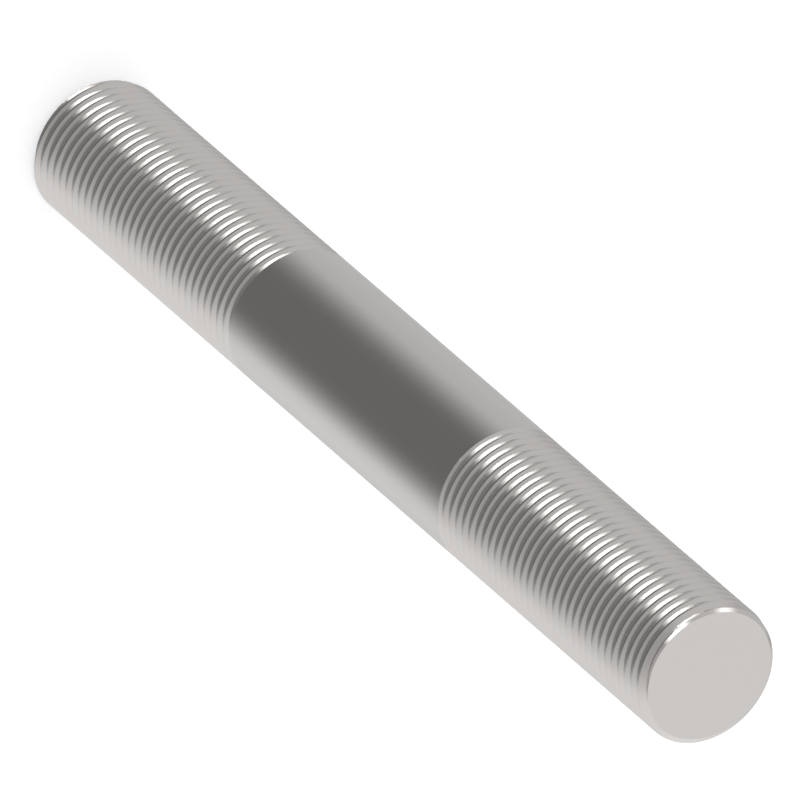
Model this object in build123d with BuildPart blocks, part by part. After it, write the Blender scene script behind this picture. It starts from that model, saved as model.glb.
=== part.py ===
# Double-ended threaded stud: one bar, turned and threaded at both ends, with a plain full-size shank between.
# Millimetres, +Z up. It stands on one end, with the origin at the middle of that end's face.
import os

from build123d import *

# Driving dimensions
thread_diameter = 19.05  # over the crests of the 3/4 in thread
thread_length = 50.8  # 2 in, from the end face to the last full turn, alike at both ends
shank_diameter = 19.05  # full-bodied: the bar keeps the size of the crests
shank_length = 50.8  # 2 in of plain bar between the threads
end_chamfer = 0.76  # 0.03 in at 45 degrees, a little less deep than the thread

# The three lengths of the bar, from the foot up: where each starts, how long it is and how thick
lower_thread = (0, thread_length, thread_diameter)
shank = (thread_length, shank_length, shank_diameter)
upper_thread = (thread_length + shank_length, thread_length, thread_diameter)

with BuildPart() as stud:
    # Both threads are solid to their crests, as a drawing of a stud shows them.
    for start, length, diameter in (lower_thread, shank, upper_thread):
        with BuildSketch(Plane.XY.offset(start)):
            Circle(radius=diameter / 2)
        extrude(amount=length)

    # The rims of the two end faces are broken so that a nut starts easily.
    rings = stud.edges().filter_by(GeomType.CIRCLE).group_by(Axis.Z)
    chamfer(rings[0] + rings[-1], length=end_chamfer)

stud.part.label = "stud"

os.makedirs("parts", exist_ok=True)
export_step(stud.part, "parts/stud.step")
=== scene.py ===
# %% [markdown]
# # A double-ended threaded stud
#
# The real object is one bar of stainless steel. It was turned to size, threaded from both ends and left
# plain in the middle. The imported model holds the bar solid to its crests, as a drawing of a stud does.
# This lesson cuts the two threads, finishes the steel and lights it as a catalogue picture would be.

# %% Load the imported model
import math

import bmesh
import bpy
from mathutils import Matrix, Vector


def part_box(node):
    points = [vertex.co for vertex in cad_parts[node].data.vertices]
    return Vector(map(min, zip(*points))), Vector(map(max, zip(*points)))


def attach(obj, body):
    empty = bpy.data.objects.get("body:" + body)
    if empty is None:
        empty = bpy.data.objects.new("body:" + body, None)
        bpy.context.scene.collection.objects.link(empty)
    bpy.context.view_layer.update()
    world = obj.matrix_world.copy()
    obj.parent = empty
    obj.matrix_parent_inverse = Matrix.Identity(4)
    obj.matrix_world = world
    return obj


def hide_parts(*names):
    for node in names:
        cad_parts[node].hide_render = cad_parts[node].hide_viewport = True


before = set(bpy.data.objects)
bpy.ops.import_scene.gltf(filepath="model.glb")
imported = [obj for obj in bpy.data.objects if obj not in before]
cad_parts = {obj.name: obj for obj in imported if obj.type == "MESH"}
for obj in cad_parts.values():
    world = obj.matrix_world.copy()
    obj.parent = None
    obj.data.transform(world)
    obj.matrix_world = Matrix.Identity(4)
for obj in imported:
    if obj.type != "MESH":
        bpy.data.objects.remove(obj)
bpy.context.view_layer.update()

MM = 0.001

# %% [markdown]
# ## The sizes
#
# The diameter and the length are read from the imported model, so the thread always fits the bar. The pitch
# is that of a 3/4 inch fine thread, 16 to the inch. Both threads are 2 inches long, and both ends have a 45
# degree chamfer of 0.76 mm, so that a nut starts easily.

# %% Measure the bar and state the thread
bar_low, bar_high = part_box("stud")
diameter = bar_high.x - bar_low.x
total_length = bar_high.z - bar_low.z
middle_height = (bar_low.z + bar_high.z) / 2

INCH = 25.4 * MM
pitch = INCH / 16
thread_length = 2 * INCH
shank_length = total_length - 2 * thread_length
end_chamfer = 0.76 * MM

print(f"diameter {diameter / MM:.2f} mm, length {total_length / MM:.1f} mm, pitch {pitch / MM:.4f} mm")

# %% [markdown]
# ## One helper for every node tree
#
# The shape, the steel and the light are all made by node trees. One small helper adds a node, sets its
# properties, and fills its inputs with numbers or with links from other nodes. Its first use is the group
# that holds the form of the thread.


# %% A helper that adds a node, and an empty group for the thread form
def add(tree, kind, inputs=None, **settings):
    """Adds a node. An input takes a number, a socket, or a node whose first output is meant."""
    node = tree.nodes.new(kind)
    for name, value in settings.items():
        setattr(node, name, value)
    for key, value in (inputs or {}).items():
        if isinstance(value, bpy.types.Node):
            value = value.outputs[0]
        if isinstance(value, bpy.types.NodeSocket):
            tree.links.new(value, node.inputs[key])
        else:
            node.inputs[key].default_value = value
    return node


thread_form = bpy.data.node_groups.new("thread_form", "GeometryNodeTree")
thread_form.interface.new_socket("Turns", in_out="INPUT", socket_type="NodeSocketFloat")
thread_form.interface.new_socket("Depth", in_out="OUTPUT", socket_type="NodeSocketFloat")
form_in = add(thread_form, "NodeGroupInput")

print("made the group", thread_form.name, "with", len(thread_form.nodes), "node")

# %% [markdown]
# ## The thread form
#
# A unified thread is a 60 degree V, with a flat on its crest and the corners of its root rounded by the
# nose of the tool. The standard's flat is an eighth of the pitch and its groove 0.6134 of the pitch deep.
# Crests are turned a little under size, which widens the flat to about 0.18 and leaves a shallower groove.
#
# The group gives the depth below the crest for any place along the pitch. Everything in it is a share of
# the pitch, so it serves any size of thread. A flank of a 60 degree V goes down by the root of 3 for each 1
# along the bar.

# %% The depth of the groove along one pitch
CREST_WIDTH = 0.18
FULL_DEPTH = 0.583
CORNER_ROUNDING = 0.06
half_crest = CREST_WIDTH / 2
flank_slope = math.sqrt(3)
root_corner = half_crest + FULL_DEPTH / flank_slope

from_crest = add(thread_form, "ShaderNodeMath", {0: form_in, 1: 0.5}, operation="PINGPONG")
past_crest = add(thread_form, "ShaderNodeMath", {0: from_crest, 1: half_crest}, operation="SUBTRACT")
flank = add(thread_form, "ShaderNodeMath", {0: past_crest, 1: flank_slope}, operation="MULTIPLY")
below_crest = add(thread_form, "ShaderNodeMath", {0: flank, 1: 0.0}, operation="MAXIMUM")
root = {0: below_crest, 1: FULL_DEPTH, 2: CORNER_ROUNDING}
form_depth = add(thread_form, "ShaderNodeMath", root, operation="SMOOTH_MIN")
add(thread_form, "NodeGroupOutput", {"Depth": form_depth})

print(f"groove depth {FULL_DEPTH:.4f} of the pitch, {FULL_DEPTH * pitch / MM:.3f} mm")
print(f"the root's corners lie {root_corner:.3f} of the pitch from the middle of the crest")

# %% [markdown]
# ## Named sizes for the trees
#
# Each tree gets one named input for each size, so another stud needs other numbers and no other nodes. Two
# sizes aren't on a drawing. Groove Start is how far from the shank the tool comes out of the metal. Crest
# Angle is the direction, seen from above, in which a crest meets the end of the shank. It was chosen so
# that the ridges lie as in the photo.

# %% The sizes of the stud as inputs
SIZES = {
    "Diameter": diameter,
    "Pitch": pitch,
    "Thread Length": thread_length,
    "Shank Length": shank_length,
    "Chamfer": end_chamfer,
    "Groove Start": 0.3 * MM,
    "Crest Angle": math.radians(-129),
}


def add_sizes(tree):
    """Gives a tree a named input for each size of the stud."""
    sockets = {}
    for name in SIZES:
        sockets[name] = tree.interface.new_socket(name, in_out="INPUT", socket_type="NodeSocketFloat")
    return sockets


wall = bpy.data.node_groups.new("stud_wall", "GeometryNodeTree")
wall.interface.new_socket("Round", in_out="INPUT", socket_type="NodeSocketFloat")
wall.interface.new_socket("Along", in_out="INPUT", socket_type="NodeSocketFloat")
add_sizes(wall)
wall.interface.new_socket("Place", in_out="OUTPUT", socket_type="NodeSocketVector")
wall_in = add(wall, "NodeGroupInput").outputs

print("inputs of", wall.name + ":", [socket.name for socket in wall_in if socket.name])

# %% [markdown]
# ## The wall of the stud
#
# The second group turns a place on a flat grid into a place on the bar. Round is the share of the way
# round, and Along is the distance past the end of the shank. A helix rises one pitch a turn, so the thread
# form is read at Along in pitches, less the share of the turn. The groove could also be swept along a
# helix and cut from the bar, but a formula gives clean rows of faces and leaves nothing to repair.

# %% How deep the thread form is at a place
crest_share = add(wall, "ShaderNodeMath", {0: wall_in["Crest Angle"], 1: math.tau}, operation="DIVIDE")
turn_share = add(wall, "ShaderNodeMath", {0: wall_in["Round"], 1: crest_share}, operation="SUBTRACT")
along_turns = add(wall, "ShaderNodeMath", {0: wall_in["Along"], 1: wall_in["Pitch"]}, operation="DIVIDE")
form_place = add(wall, "ShaderNodeMath", {0: along_turns, 1: turn_share}, operation="SUBTRACT")
form = add(wall, "GeometryNodeGroup", node_tree=thread_form)
wall.links.new(form_place.outputs[0], form.inputs["Turns"])
groove = add(wall, "ShaderNodeMath", {0: form, 1: wall_in["Pitch"]}, operation="MULTIPLY")

print("the form is read by", len(wall.nodes), "nodes")

# %% [markdown]
# Two cones trim the groove. One brings it up to the shank's surface where the thread ends, at the slope of
# a flank, as a tool does that is drawn out of the cut. The other is the 45 degree chamfer of the bar's end.

# %% Trim the groove at the shank and at the end of the bar
past_start = {0: wall_in["Along"], 1: wall_in["Groove Start"]}
before_end = {0: wall_in["Thread Length"], 1: wall_in["Along"]}
from_start = add(wall, "ShaderNodeMath", past_start, operation="SUBTRACT")
run_out = add(wall, "ShaderNodeMath", {0: from_start, 1: flank_slope}, operation="MULTIPLY")
groove_kept = add(wall, "ShaderNodeMath", {0: groove, 1: run_out}, operation="MINIMUM")
to_end = add(wall, "ShaderNodeMath", before_end, operation="SUBTRACT")
bevel = add(wall, "ShaderNodeMath", {0: wall_in["Chamfer"], 1: to_end}, operation="SUBTRACT")
cut = add(wall, "ShaderNodeMath", {0: groove_kept, 1: bevel}, operation="MAXIMUM")
depth = add(wall, "ShaderNodeMath", {0: cut, 1: 0.0}, operation="MAXIMUM")

print(f"the groove starts {SIZES['Groove Start'] / MM:.1f} mm from the shank")

# %% Turn the depth into a place on the bar
radius = add(wall, "ShaderNodeMath", {0: wall_in["Diameter"], 1: 0.5}, operation="MULTIPLY")
wall_radius = add(wall, "ShaderNodeMath", {0: radius, 1: depth}, operation="SUBTRACT")
angle = add(wall, "ShaderNodeMath", {0: wall_in["Round"], 1: math.tau}, operation="MULTIPLY")
cosine = add(wall, "ShaderNodeMath", {0: angle}, operation="COSINE")
sine = add(wall, "ShaderNodeMath", {0: angle}, operation="SINE")
x = add(wall, "ShaderNodeMath", {0: cosine, 1: wall_radius}, operation="MULTIPLY")
y = add(wall, "ShaderNodeMath", {0: sine, 1: wall_radius}, operation="MULTIPLY")
half_shank = add(wall, "ShaderNodeMath", {0: wall_in["Shank Length"], 1: 0.5}, operation="MULTIPLY")
z = add(wall, "ShaderNodeMath", {0: wall_in["Along"], 1: half_shank}, operation="ADD")
wall_place = add(wall, "ShaderNodeCombineXYZ", {"X": x, "Y": y, "Z": z})
add(wall, "NodeGroupOutput", {"Place": wall_place})

print("the whole wall takes", len(wall.nodes), "nodes")

# %% [markdown]
# ## The tree that makes the stud
#
# The upper half is made of six grids, from the middle of the shank outwards: the shank, its rim, the short
# cone where the groove starts, the turns, the chamfer and the flat end. The wall group bends each of them
# round the bar.
#
# The grid of the turns has six rows a pitch: at both edges of the crest and round both corners of the root.
# The flanks need none, because they are straight.

# %% The rows of one pitch
half_stations = (half_crest, root_corner - CORNER_ROUNDING / 4, root_corner + CORNER_ROUNDING / 2)
stations = half_stations + tuple(1 - share for share in reversed(half_stations))
COLUMNS = 192

stud_tree = bpy.data.node_groups.new("threaded_stud", "GeometryNodeTree")
size_sockets = add_sizes(stud_tree)
stud_tree.interface.new_socket("Geometry", in_out="OUTPUT", socket_type="NodeSocketGeometry")
tree_in = add(stud_tree, "NodeGroupInput").outputs
grid_place = add(stud_tree, "GeometryNodeInputPosition")
grid_axes = add(stud_tree, "ShaderNodeSeparateXYZ", {0: grid_place}).outputs
round_share = add(stud_tree, "ShaderNodeMath", {0: grid_axes["X"], 1: 0.5}, operation="ADD")
row_share = add(stud_tree, "ShaderNodeMath", {0: grid_axes["Y"], 1: 0.5}, operation="ADD")

print(len(stations), "rows a pitch,", COLUMNS, "columns round the bar")

# %% Where each grid starts and ends along the bar
RIM_WIDTH = 0.1 * MM
groove_start = tree_in["Groove Start"]
thread_end = tree_in["Thread Length"]
groove_run = FULL_DEPTH / flank_slope
mid_shank = add(stud_tree, "ShaderNodeMath", {0: tree_in["Shank Length"], 1: -0.5}, operation="MULTIPLY")
shank_rim = add(stud_tree, "ShaderNodeMath", {0: groove_start, 1: RIM_WIDTH}, operation="SUBTRACT")
run_length = add(stud_tree, "ShaderNodeMath", {0: tree_in["Pitch"], 1: groove_run}, operation="MULTIPLY")
full_start = add(stud_tree, "ShaderNodeMath", {0: groove_start, 1: run_length}, operation="ADD")
full_form = {0: thread_end, 1: tree_in["Chamfer"]}
chamfer_start = add(stud_tree, "ShaderNodeMath", full_form, operation="SUBTRACT")

print(f"the groove reaches its full depth over {groove_run * pitch / MM:.2f} mm")

# %% [markdown]
# ### The sheared grid of the turns
#
# If the rows of the turns ran straight round the bar, every crest would be cut into steps. So the grid is
# sheared by one pitch: its rows run along the helix, and every crest and root keeps a clean line. Its last
# column lands on its first, one turn further on, and merging sews the turns to each other. There are a
# few rows too many, and those that would stick out are held back at the rings where the turns end.

# %% The rows of the turns
# Two of the spare turns come before the start, so that the sheared grid reaches it all the way round
SPARE_TURNS = 3.0
TURNS_BEFORE = 2.0
rows_a_turn = len(stations)

turns_fit = add(stud_tree, "ShaderNodeMath", {0: thread_end, 1: tree_in["Pitch"]}, operation="DIVIDE")
turns_whole = add(stud_tree, "ShaderNodeMath", {0: turns_fit}, operation="CEIL")
turns = add(stud_tree, "ShaderNodeMath", {0: turns_whole, 1: SPARE_TURNS}, operation="ADD")
turn_rows = add(stud_tree, "ShaderNodeMath", {0: turns, 1: rows_a_turn}, operation="MULTIPLY")

# Each row's number from 0, its place in its own turn, and the whole turns before it
row_place = add(stud_tree, "ShaderNodeMath", {0: row_share, 1: turn_rows}, operation="MULTIPLY")
row = add(stud_tree, "ShaderNodeMath", {0: row_place}, operation="ROUND")
row_in_turn = add(stud_tree, "ShaderNodeMath", {0: row, 1: rows_a_turn}, operation="FLOORED_MODULO")
rows_before = add(stud_tree, "ShaderNodeMath", {0: row, 1: row_in_turn}, operation="SUBTRACT")
whole_turns = add(stud_tree, "ShaderNodeMath", {0: rows_before, 1: rows_a_turn}, operation="DIVIDE")

print(rows_a_turn, "rows a turn, and", int(SPARE_TURNS), "spare turns")

# %% Where each row of the turns lies along the bar
station = add(stud_tree, "GeometryNodeIndexSwitch", data_type="FLOAT")
while len(station.index_switch_items) < rows_a_turn:
    station.index_switch_items.new()
stud_tree.links.new(row_in_turn.outputs[0], station.inputs["Index"])
for number, share in enumerate(stations):
    station.inputs[str(number)].default_value = share

row_turns = add(stud_tree, "ShaderNodeMath", {0: whole_turns, 1: station}, operation="ADD")
crest_turn = add(stud_tree, "ShaderNodeMath", {0: tree_in["Crest Angle"], 1: math.tau}, operation="DIVIDE")
sheared = add(stud_tree, "ShaderNodeMath", {0: row_turns, 1: round_share}, operation="ADD")
from_first = add(stud_tree, "ShaderNodeMath", {0: sheared, 1: crest_turn}, operation="SUBTRACT")
started = add(stud_tree, "ShaderNodeMath", {0: from_first, 1: TURNS_BEFORE}, operation="SUBTRACT")
turns_along = add(stud_tree, "ShaderNodeMath", {0: started, 1: tree_in["Pitch"]}, operation="MULTIPLY")
turn_limits = {"Value": turns_along, "Min": full_start, "Max": chamfer_start}
trimmed = add(stud_tree, "ShaderNodeClamp", turn_limits)

print("the rows of a turn, as shares of the pitch:", [round(share, 3) for share in stations])

# %% Build the six grids


def between(start, end):
    """The distance along the bar of a row, spread evenly from start to end."""
    limits = {"Value": row_share, "To Min": start, "To Max": end}
    return add(stud_tree, "ShaderNodeMapRange", limits).outputs[0]


zones = (
    # name, rows, distance along the bar
    ("shank", 4, between(mid_shank, shank_rim)),
    ("shank_rim", 1, between(shank_rim, groove_start)),
    ("groove_start", 20, between(groove_start, full_start)),
    ("turns", turn_rows, trimmed.outputs[0]),
    ("chamfer", 30, between(chamfer_start, thread_end)),
    ("end_face", 6, thread_end),
)
upper_half = add(stud_tree, "GeometryNodeJoinGeometry")
for name, rows, along in zones:
    points = add(stud_tree, "ShaderNodeMath", {0: rows, 1: 1.0}, operation="ADD")
    grid_size = {"Size X": 1.0, "Size Y": 1.0, "Vertices X": COLUMNS + 1, "Vertices Y": points}
    grid = add(stud_tree, "GeometryNodeMeshGrid", grid_size)
    on_wall = add(stud_tree, "GeometryNodeGroup", node_tree=wall, label=name)
    for size in SIZES:
        stud_tree.links.new(tree_in[size], on_wall.inputs[size])
    stud_tree.links.new(round_share.outputs[0], on_wall.inputs["Round"])
    stud_tree.links.new(along, on_wall.inputs["Along"])
    if name == "end_face":
        # The end face is a disc: its rows close in on the axis and stay at one height
        inward = add(stud_tree, "ShaderNodeMath", {0: 1.0, 1: row_share}, operation="SUBTRACT")
        shrink = add(stud_tree, "ShaderNodeCombineXYZ", {"X": inward, "Y": inward, "Z": 1.0})
        on_wall = add(stud_tree, "ShaderNodeVectorMath", {0: on_wall, 1: shrink}, operation="MULTIPLY")
    placed = add(stud_tree, "GeometryNodeSetPosition", {"Geometry": grid, "Position": on_wall})
    stud_tree.links.new(placed.outputs[0], upper_half.inputs[0])

print("grids of the upper half:", [name for name, rows, along in zones])

# %% [markdown]
# ### The lower half
#
# The stud has a right-hand thread on top and a left-hand one below, so that turning it draws two nuts
# together. That makes the lower half the mirror image of the upper one. It is mirrored, its faces are
# turned the right way out again, and points that lie within a thousandth of a millimetre are merged.

# %% Mirror the half and sew everything together
SEAM = 0.001 * MM
sewn_half = add(stud_tree, "GeometryNodeMergeByDistance", {"Geometry": upper_half, "Distance": SEAM})
mirrored = add(stud_tree, "GeometryNodeTransform", {"Geometry": sewn_half, "Scale": (1, 1, -1)})
lower_half = add(stud_tree, "GeometryNodeFlipFaces", {"Mesh": mirrored})
both_halves = add(stud_tree, "GeometryNodeJoinGeometry")
stud_tree.links.new(sewn_half.outputs[0], both_halves.inputs[0])
stud_tree.links.new(lower_half.outputs[0], both_halves.inputs[0])
sewn = add(stud_tree, "GeometryNodeMergeByDistance", {"Geometry": both_halves, "Distance": SEAM})
lift = {"Geometry": sewn, "Translation": (0, 0, middle_height)}
standing = add(stud_tree, "GeometryNodeTransform", lift)
smooth = add(stud_tree, "GeometryNodeSetShadeSmooth", {"Geometry": standing})
realized = add(stud_tree, "GeometryNodeRealizeInstances", {"Geometry": smooth})
steel = bpy.data.materials.new("turned_stainless_steel")
finished = add(stud_tree, "GeometryNodeSetMaterial", {"Geometry": realized, "Material": steel})
add(stud_tree, "NodeGroupOutput", {"Geometry": finished})

print("the tree of the stud has", len(stud_tree.nodes), "nodes")

# %% [markdown]
# ## From the tree to a plain mesh
#
# The modifier's inputs are set by the identifiers of the sockets. The result is copied to a plain mesh and
# the modifier is removed, so that the piece can ride on its body. Edges that turn by more than 20 degrees
# stay sharp. That keeps the rims of the end faces crisp and leaves each flank exactly straight, and it is
# the straight flanks that throw the bright crescents of a cut thread.

# %% Make the stud's mesh
SHARP_ANGLE = math.radians(20)
stud_body = bpy.data.objects.new("stud_body", bpy.data.meshes.new("stud_body"))
bpy.context.scene.collection.objects.link(stud_body)
modifier = stud_body.modifiers.new("threaded_stud", "NODES")
modifier.node_group = stud_tree
for name, socket in size_sockets.items():
    modifier[socket.identifier] = SIZES[name]

graph = bpy.context.evaluated_depsgraph_get()
stud_mesh = bpy.data.meshes.new_from_object(stud_body.evaluated_get(graph))
stud_body.modifiers.clear()
stud_body.data = stud_mesh
stud_mesh.name = "stud_body"
stud_mesh.set_sharp_from_angle(angle=SHARP_ANGLE)

print("the mesh has", len(stud_mesh.vertices), "points and", len(stud_mesh.polygons), "faces")

# %% Measure the mesh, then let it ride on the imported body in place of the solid
CUBIC_CM = 1e-6
shape = bmesh.new()
shape.from_mesh(stud_mesh)
open_edges = sum(not edge.is_manifold for edge in shape.edges)
volume = shape.calc_volume(signed=True)
shape.free()
stud_mesh.calc_loop_triangles()
print(f"{len(stud_mesh.loop_triangles)} triangles, {open_edges} open edges")
print(f"volume {volume / CUBIC_CM:.2f} cm3")

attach(stud_body, "root")
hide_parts("stud")

# %% [markdown]
# ## The steel
#
# The surface is stainless steel as it leaves the lathe and the grinder. To the eye it is satin rather than
# mirror bright: reflections keep their place but have soft edges. Its colour is a light, nearly neutral
# grey.
#
# It also has very fine marks round the bar and round the end faces. A picture of scratches could be wrapped
# round it, but a noise needs no unwrapping and never repeats, and one noise makes them all. It is read at
# the height plus 1.7 times the distance from the axis, so it changes along the bar and also across an end
# face, and its lines run round both. Real marks are 0.02 to 0.05 mm apart. They are drawn 0.2 mm apart,
# because finer ones would be lost between the pixels. They change the roughness a little and the
# brightness by about a hundredth. The brightness follows the same noise as the relief, so the hollows of
# the marks are painted up to a hundredth darker as shade. It also stops the metal from looking like one
# flat colour.

# %% Colours are written as hex values and turned to linear


def linear(colour):
    """An sRGB hex colour as linear red, green, blue and alpha."""
    channels = [int(colour[i : i + 2], 16) / 255 for i in (1, 3, 5)]
    light = [c / 12.92 if c <= 0.04045 else ((c + 0.055) / 1.055) ** 2.4 for c in channels]
    return (*light, 1.0)


STEEL_GREY = linear("#d0cfce")
WHITE = linear("#ffffff")

print("the steel's grey in linear light:", [round(channel, 3) for channel in STEEL_GREY[:3]])

# %% Marks that run round the stud
ACROSS_END_FACE = 1.7
NOISE_LOW = 0.3
NOISE_HIGH = 0.7

steel.use_nodes = True
steel_tree = steel.node_tree
steel_tree.nodes.clear()
on_stud = add(steel_tree, "ShaderNodeTexCoord").outputs["Object"]
stud_axes = add(steel_tree, "ShaderNodeSeparateXYZ", {0: on_stud}).outputs
level_place = add(steel_tree, "ShaderNodeCombineXYZ", {"X": stud_axes["X"], "Y": stud_axes["Y"]})
from_axis = add(steel_tree, "ShaderNodeVectorMath", {0: level_place}, operation="LENGTH").outputs["Value"]
outwards = {0: from_axis, 1: ACROSS_END_FACE, 2: stud_axes["Z"]}
across_marks = add(steel_tree, "ShaderNodeMath", outwards, operation="MULTIPLY_ADD")


def marks(spacing, length, detail):
    """Marks round the stud: a noise that changes quickly across them and slowly along them."""
    stretch = {0: level_place, "Scale": 1 / length}
    along = add(steel_tree, "ShaderNodeVectorMath", stretch, operation="SCALE")
    across = add(steel_tree, "ShaderNodeMath", {0: across_marks, 1: 1 / spacing}, operation="MULTIPLY")
    up = add(steel_tree, "ShaderNodeCombineXYZ", {"Z": across})
    spot = add(steel_tree, "ShaderNodeVectorMath", {0: along, 1: up}, operation="ADD")
    noise = {"Vector": spot, "Scale": 1.0, "Detail": detail, "Roughness": 0.5}
    return add(steel_tree, "ShaderNodeTexNoise", noise).outputs["Fac"]


def spread(value, low, high):
    """The middle of a noise's range stretched to the range from low to high."""
    limits = {"Value": value, "From Min": NOISE_LOW, "From Max": NOISE_HIGH, "To Min": low, "To Max": high}
    return add(steel_tree, "ShaderNodeMapRange", limits)


fine_marks = marks(spacing=0.2 * MM, length=12 * MM, detail=2.0)
broad_bands = marks(spacing=2.5 * MM, length=20 * MM, detail=1.0)

print("two sets of marks take", len(steel_tree.nodes), "nodes")

# %% [markdown]
# A roughness of about 0.15 is that of finely ground steel. The fine marks move it up and down by 0.01, and
# broad bands, 2.5 mm apart, by half of that. The relief of the marks is a fifth of a thousandth of a
# millimetre deep. More would break up the highlights, which are smooth in the photo.

# %% The steel's material
MARK_DEPTH = 0.0002 * MM
fine_roughness = spread(fine_marks, low=0.14, high=0.16)
band_roughness = spread(broad_bands, low=-0.005, high=0.005)
roughness = add(steel_tree, "ShaderNodeMath", {0: fine_roughness, 1: band_roughness})
# Painted shade: the colour is darker by up to a hundredth where the relief of the marks is low
mark_tone_and_painted_shade = spread(fine_marks, low=0.985, high=1.0)
tint = add(steel_tree, "ShaderNodeVectorMath", {0: STEEL_GREY[:3], "Scale": mark_tone_and_painted_shade}, operation="SCALE")
relief = add(steel_tree, "ShaderNodeBump", {"Height": fine_marks, "Strength": 1.0, "Distance": MARK_DEPTH})
metal = {"Base Color": tint, "Metallic": 1.0, "Roughness": roughness, "Normal": relief}
steel_shader = add(steel_tree, "ShaderNodeBsdfPrincipled", metal)
add(steel_tree, "ShaderNodeOutputMaterial", {"Surface": steel_shader})

print("the material", steel.name, "has", len(steel_tree.nodes), "nodes")

# %% [markdown]
# ## The camera
#
# The picture looks down on the stud from 48.6 degrees and is turned, so that the bar runs from the upper
# left to the lower right. It has no perspective to speak of, so a very long lens stands far away. It sees
# only 0.6 degrees to each side of its axis. An orthographic camera would do too, but a real lens also
# serves for views from near by.

# %% Set the camera
ELEVATION = math.radians(48.59)
TURN = math.radians(130.89)
HALF_ANGLE = math.radians(0.60)
# The picture is this wide at the stud, and the middle of the stud lies on this pixel of it
IMAGE_WIDTH_MM = 99.37
IMAGE_PIXELS = 800
MIDDLE_PIXEL = (399.0, 407.3)

camera_data = bpy.data.cameras.new("camera")
camera_data.sensor_width = 36
camera_data.lens = camera_data.sensor_width / 2 / math.tan(HALF_ANGLE)
camera = bpy.data.objects.new("camera", camera_data)
bpy.context.scene.collection.objects.link(camera)
bpy.context.scene.camera = camera

back = Vector((0, -math.cos(ELEVATION), math.sin(ELEVATION)))
right = Vector((1, 0, 0))
upright = Matrix((right, back.cross(right), back)).transposed()
turned = upright @ Matrix.Rotation(TURN, 3, "Z")
pixel = IMAGE_WIDTH_MM * MM / IMAGE_PIXELS
offset = Vector((IMAGE_PIXELS / 2 - MIDDLE_PIXEL[0], MIDDLE_PIXEL[1] - IMAGE_PIXELS / 2, 0)) * pixel
distance = IMAGE_WIDTH_MM * MM / 2 / math.tan(HALF_ANGLE)
camera_place = Vector((0, 0, middle_height)) + back * distance + turned @ offset
camera.matrix_world = Matrix.Translation(camera_place) @ turned.to_4x4()

print(f"camera {distance:.2f} m away, lens {camera_data.lens:.0f} mm")

# %% [markdown]
# ## The floor
#
# The floor is a light table: white opal plastic with a little light of its own, so it stays white right
# up to a soft shadow at the stud's foot. The plastic is a touch cool, which makes up for the slightly warm
# light, so the shadow is a neutral grey. The floor is left out of reflections: there the low walls of the
# light tent, which comes next, stand for it.

# %% Lay the floor
FLOOR_RADIUS = 1.5
FLOOR_SIDES = 96
OWN_LIGHT = 0.45

floor_mesh = bpy.data.meshes.new("floor")
disc = bmesh.new()
bmesh.ops.create_circle(disc, cap_ends=True, segments=FLOOR_SIDES, radius=FLOOR_RADIUS)
disc.to_mesh(floor_mesh)
disc.free()
floor = bpy.data.objects.new("floor", floor_mesh)
bpy.context.scene.collection.objects.link(floor)
floor.location.z = bar_low.z

opal = bpy.data.materials.new("opal_plastic")
opal.use_nodes = True
opal.node_tree.nodes.clear()
plastic = {"Base Color": linear("#f1f4f7"), "Roughness": 0.6}
own_glow = {"Emission Color": WHITE, "Emission Strength": OWN_LIGHT}
opal_shader = add(opal.node_tree, "ShaderNodeBsdfPrincipled", plastic | own_glow)
add(opal.node_tree, "ShaderNodeOutputMaterial", {"Surface": opal_shader})
floor_mesh.materials.append(opal)
floor.visible_glossy = False
floor.visible_shadow = False

print(f"a floor {2 * FLOOR_RADIUS:.0f} m across lies at height {floor.location.z / MM:.1f} mm")

# %% [markdown]
# ## The light tent
#
# Bright metal shows what stands around it, so its picture depends on the room more than on the metal. In a
# studio the stud would stand in a tent of white cloth, with lamps and black cards behind the cloth. One
# lamp object for each bright patch is the usual way to draw that. Here the whole room is one large sphere
# that the camera doesn't see, because a round bar reflects all of it: the dark places have to be set as
# exactly as the bright ones.

# %% Make the light tent
TENT_RADIUS = 2.0
tent_mesh = bpy.data.meshes.new("light_tent")
tent_shape = bmesh.new()
bmesh.ops.create_icosphere(tent_shape, subdivisions=5, radius=TENT_RADIUS)
bmesh.ops.reverse_faces(tent_shape, faces=tent_shape.faces)
tent_shape.to_mesh(tent_mesh)
tent_shape.free()
tent = bpy.data.objects.new("light_tent", tent_mesh)
bpy.context.scene.collection.objects.link(tent)
tent.location.z = middle_height
tent.visible_camera = False
tent.visible_shadow = False

print(f"a tent {2 * TENT_RADIUS:.0f} m across, of {len(tent_mesh.polygons)} faces")

# %% [markdown]
# ## Light by direction
#
# The tent's material gives off light by the direction in which it is seen from the middle of the stud: X to
# the right, Y to the back and Z up. A level of 1 would show as white. The directions are the tent's own, so
# the light stays where it is when the camera moves. A fade is a smooth step along one of the directions,
# and a mix goes from one level to another.

# %% Directions, fades and mixes
glow = bpy.data.materials.new("tent_glow")
glow.use_nodes = True
# The stud's rays find the tent by themselves, so it isn't also sampled as a lamp
glow.cycles.emission_sampling = "NONE"
glow_tree = glow.node_tree
glow_tree.nodes.clear()
on_tent = add(glow_tree, "ShaderNodeTexCoord").outputs["Object"]
direction = add(glow_tree, "ShaderNodeVectorMath", {0: on_tent}, operation="NORMALIZE")
axes = add(glow_tree, "ShaderNodeSeparateXYZ", {0: direction}).outputs


def fade(value, start, end, low=0.0, high=1.0):
    """A smooth step from low to high while value goes from start to end."""
    limits = {"Value": value, "From Min": start, "From Max": end, "To Min": low, "To Max": high}
    return add(glow_tree, "ShaderNodeMapRange", limits, interpolation_type="SMOOTHSTEP")


def mix(factor, low, high):
    """A mix of two levels of light."""
    levels = {"Factor": factor, "A": low, "B": high}
    return add(glow_tree, "ShaderNodeMix", levels, data_type="FLOAT")


print("directions:", [axis.name for axis in axes])

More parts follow.
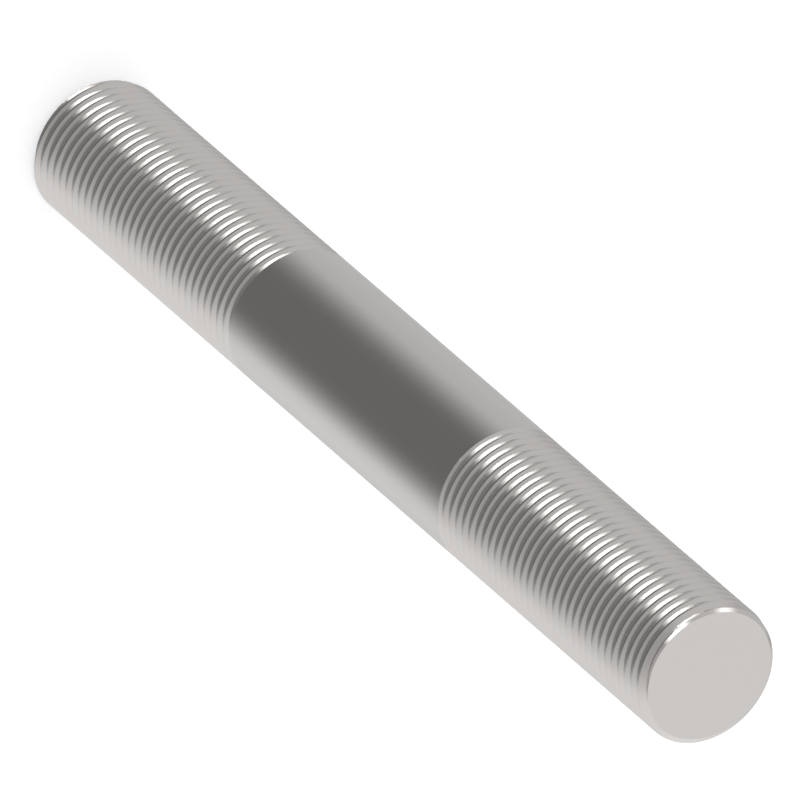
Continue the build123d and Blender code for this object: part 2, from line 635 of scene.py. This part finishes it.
# %% [markdown]
# ### The room at three heights
#
# Seen from where the photo looks, the plain shank reflects the walls near the floor, the flanks of the
# thread those at about the stud's own height, and the end face the cloth overhead at the back. So the room
# is set at three heights. At each one a level in front turns to the level of the sides further back. Near
# the floor the front is darkest, which gives the shank the broad dark band along its middle. The right is
# brighter than the left, because the photo's bar is lighter along its lower left edge.

# %% Set the walls of the room
LOW_FRONT = 0.195
MIDDLE_FRONT = 0.42
# Backwards leans a little to the left, so that the dark front reaches further round on the right
LEAN = -0.12
leaning = {0: axes["X"], 1: LEAN, 2: axes["Y"]}
backwards = add(glow_tree, "ShaderNodeMath", leaning, operation="MULTIPLY_ADD")


def walls(front, sides, start, end):
    """The room at one height: a level in front, which turns to the level of the side walls further back."""
    return mix(fade(backwards, start, end), front, sides)


# Near the floor: brighter on the right, and a little darker again at the very back
low_sides = fade(axes["X"], start=-0.3, end=0.6, low=0.66, high=0.86)
low_back = fade(axes["Y"], start=0.35, end=0.65, low=1.0, high=0.88)
low_walls = add(glow_tree, "ShaderNodeMath", {0: low_sides, 1: low_back}, operation="MULTIPLY")
below = walls(LOW_FRONT, low_walls, start=-0.58, end=0.12)

# At the stud's height: brighter from left to right
middle_sides = fade(axes["X"], start=-0.6, end=0.6, low=0.72, high=1.1)
middle = walls(MIDDLE_FRONT, middle_sides, start=-0.75, end=-0.1)

# Overhead: the front is brighter on the left, the sides on the right
top_front = fade(axes["X"], start=0.05, end=-0.47, low=0.44, high=0.68)
top_left = fade(axes["Y"], start=0.25, end=0.5, low=0.75, high=0.61)
top_sides = fade(axes["X"], start=-0.6, end=0.2, low=top_left, high=1.015)
above = walls(top_front, top_sides, start=-0.42, end=0.16)

lower_room = mix(fade(axes["Z"], start=-0.62, end=-0.28), below, middle)
glow_level = mix(fade(axes["Z"], start=0.2, end=0.55), lower_room, above)

print("the room takes", len(glow_tree.nodes), "nodes")

# %% [markdown]
# ### Soft boxes and black cards
#
# The first box is the main lamp, long and low at the front left. The two flanks of a groove pass its light
# from one to the other, and that draws the bright crescents along the thread. The second is a dim halo
# round it, and the third a weak lamp low on the right. The three boxes higher up give the chamfer its
# bright spots.
#
# A black card works the other way round: it is a box with a level below zero, which takes light away.
# The cards stand behind and at both sides. They draw darker bands on the steel for someone who walks round
# the stud, and the photo's view sees next to nothing of them.

# %% Hang the soft boxes and the cards
soft_boxes = (
    # name, (azimuth, height), (half width, half height), (softness sideways, and up and down), level
    # Azimuths and widths are degrees from the front, to the right. Heights are the Z of the direction.
    ("main lamp", (-41, -0.165), (21, 0.077), (11, 0.036), 4.0),
    ("halo of the lamp", (-40, -0.25), (20, 0.17), (20, 0.11), 0.6),
    ("low on the right", (60, -0.42), (18, 0.1), (16, 0.06), 0.6),
    ("over the front", (-18, 0.66), (18, 0.12), (9, 0.05), 2.0),
    ("over the left", (-91, 0.37), (9, 0.12), (8, 0.05), 1.2),
    ("over the right", (38, 0.60), (24, 0.10), (10, 0.05), 0.13),
    ("card behind", (-166, 0.0), (14, 0.28), (8, 0.08), -0.45),
    ("low card on the left", (-100, -0.36), (24, 0.14), (16, 0.08), -0.35),
    ("low card on the right", (108, -0.36), (30, 0.14), (18, 0.08), -0.5),
)
forwards = add(glow_tree, "ShaderNodeMath", {0: axes["Y"], 1: -1.0}, operation="MULTIPLY")
heading = add(glow_tree, "ShaderNodeMath", {0: axes["X"], 1: forwards}, operation="ARCTAN2")

for name, (azimuth, height), (half_width, half_height), (side_soft, top_soft), level in soft_boxes:
    # How far a direction is from the box's middle: sideways the short way round, and up or down
    turn = add(glow_tree, "ShaderNodeMath", {0: heading, 1: math.radians(azimuth)}, operation="SUBTRACT")
    side_gap = add(glow_tree, "ShaderNodeMath", {0: turn, 1: math.pi}, operation="PINGPONG")
    rise = add(glow_tree, "ShaderNodeMath", {0: axes["Z"], 1: height}, operation="SUBTRACT")
    up_gap = add(glow_tree, "ShaderNodeMath", {0: rise}, operation="ABSOLUTE")
    inner_side = math.radians(half_width - side_soft)
    outer_side = math.radians(half_width + side_soft)
    across = fade(side_gap, inner_side, outer_side, low=1.0, high=0.0)
    updown = fade(up_gap, half_height - top_soft, half_height + top_soft, low=level, high=0.0)
    box = add(glow_tree, "ShaderNodeMath", {0: across, 1: updown}, operation="MULTIPLY", label=name)
    glow_level = add(glow_tree, "ShaderNodeMath", {0: glow_level, 1: box}, operation="ADD")

levels = [soft_box[-1] for soft_box in soft_boxes]
print(sum(level > 0 for level in levels), "soft boxes and", sum(level < 0 for level in levels), "cards")

# %% [markdown]
# ### The tint of the light
#
# The light grows a touch warmer from the floor to the roof. In the photo the shank, which reflects the low
# walls, is the most neutral part of the steel, and the end face, which reflects the roof, the warmest.

# %% Tint the light and hang the cloth
LOW_TINT = linear("#fffefd")
HIGH_TINT = linear("#fffbf9")
warmth = fade(axes["Z"], start=-0.75, end=0.75)
# Sockets 6 and 7 of a Mix node are its two colours, and output 2 is their mix
tints = {0: warmth, 6: LOW_TINT, 7: HIGH_TINT}
glow_colour = add(glow_tree, "ShaderNodeMix", tints, data_type="RGBA").outputs[2]
glow_shader = add(glow_tree, "ShaderNodeEmission", {"Color": glow_colour, "Strength": glow_level})
add(glow_tree, "ShaderNodeOutputMaterial", {"Surface": glow_shader})
tent_mesh.materials.append(glow)

print("the tent's material has", len(glow_tree.nodes), "nodes")

# %% [markdown]
# ## The background
#
# Where the floor ends, the camera sees the world, which is plain white like the paper of a catalogue. The
# Standard view shows every level of light as it is, where Blender's usual film look would grey the whites.

# %% Fill the empty background
world = bpy.data.worlds.new("studio")
world.use_nodes = True
world.node_tree.nodes.clear()
paper = add(world.node_tree, "ShaderNodeBackground", {"Color": WHITE, "Strength": 1.0})
add(world.node_tree, "ShaderNodeOutputWorld", {"Surface": paper})
bpy.context.scene.world = world
bpy.context.scene.view_settings.view_transform = "Standard"

print("world:", world.name, "view:", bpy.context.scene.view_settings.view_transform)
